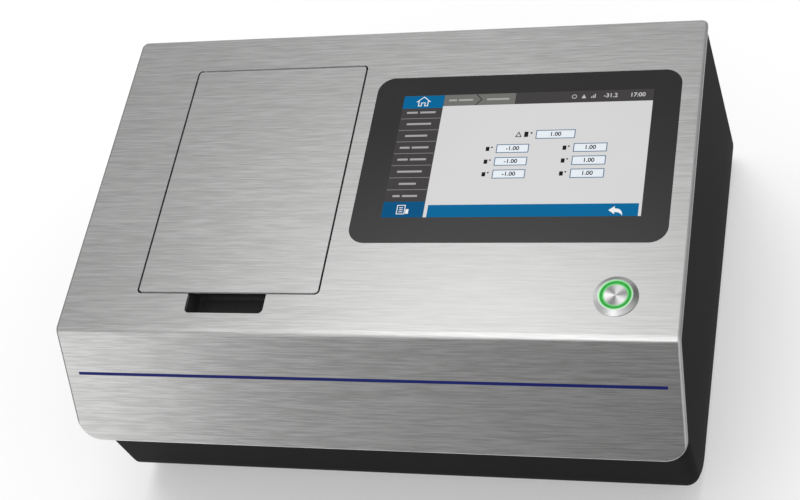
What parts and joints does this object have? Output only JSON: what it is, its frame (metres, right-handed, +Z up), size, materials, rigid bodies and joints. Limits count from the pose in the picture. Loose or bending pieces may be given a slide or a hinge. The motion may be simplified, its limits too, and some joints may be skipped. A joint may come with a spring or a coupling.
{
  "type": "benchtop colorimeter",
  "caption": "Low desktop colorimeter with a brushed steel face, flush hinged sample lid, touch display, lit push button and black sheet-metal housing.",
  "frame": {"origin": "on the table, below the middle of the overall box", "axes": "+X to the user's right, +Y to the rear, +Z up"},
  "size_m": [0.371, 0.3019, 0.179],
  "materials": {
    "steel_face": "brushed along the width, satin",
    "black_housing": "satin black powder coat",
    "black_moulding": "fine matte moulding",
    "black_rubber": "matte",
    "black_anodised": "black anodised",
    "bright_steel": "bright zinc or polished",
    "turned_steel": "turned, fine rings",
    "hinge_steel": "black coated steel",
    "display_glass": "gloss, black printed border",
    "clear_glass": "clear, polished",
    "light_ring": "translucent, lit green",
    "sphere_white": "matte white lining",
    "cast_aluminium": "plain milled",
    "board_green": "solder mask",
    "lcd_metal": "thin pressed frame",
    "switch_plastic": "fine matte moulding"
  },
  "bodies": {
    "chassis": {"faceplate": "steel_face", "housing_wrap": "black_housing", "left_side_panel": "black_housing", "right_side_panel": "black_housing", "panel_screws": "hinge_steel", "rubber_feet": "black_rubber", "foot_screws": "bright_steel", "catch_magnets": "bright_steel", "hinge_brackets": "hinge_steel", "hinge_pins": "bright_steel", "sample_tray": "black_moulding", "finger_cup": "black_moulding", "port_ring": "black_anodised", "port_glass": "clear_glass", "sphere_upper": "sphere_white", "sphere_lower": "sphere_white", "sphere_posts": "bright_steel", "lens_barrel": "black_anodised", "detector_box": "cast_aluminium", "lamp_module": "black_anodised", "optics_bench": "cast_aluminium", "bench_standoffs": "bright_steel", "display_glass": "display_glass", "display_bracket": "black_housing", "lcd_panel": "lcd_metal", "display_pillars": "bright_steel", "display_board": "board_green", "button_bezel": "turned_steel", "button_light_ring": "light_ring", "button_switch": "switch_plastic", "button_nut": "bright_steel", "rocker_frame": "switch_plastic", "dc_inlet": "switch_plastic", "usb_port": "lcd_metal", "main_board": "board_green", "power_board": "board_green", "board_standoffs": "bright_steel"},
    "lid": {"lid_skin": "steel_face", "lid_liner": "black_moulding", "lid_gasket": "black_rubber", "strike_plates": "bright_steel", "hinge_arms": "hinge_steel", "lid_screws": "bright_steel"},
    "test_button": {"button_cap": "turned_steel"},
    "power_switch": {"power_rocker": "switch_plastic"}
  },
  "joints": [
    {"name": "lid_hinge", "type": "hinge", "parent": "chassis", "child": "lid", "pos_m": [-0.0811, 0.08904, 0.17036], "axis": [-1, 0, 0], "range_deg": [0, 100]},
    {"name": "button_press", "type": "slide", "parent": "chassis", "child": "test_button", "axis": [0, 0.108, -0.9942], "range_m": [0, 0.0015], "stiffness_N_per_m": 800, "springref_m": -0.001},
    {"name": "rocker_throw", "type": "hinge", "parent": "chassis", "child": "power_switch", "pos_m": [0.142, 0.13908, 0.05004], "axis": [0, 0.2672, -0.9636], "range_deg": [0, 16]}
  ]
}
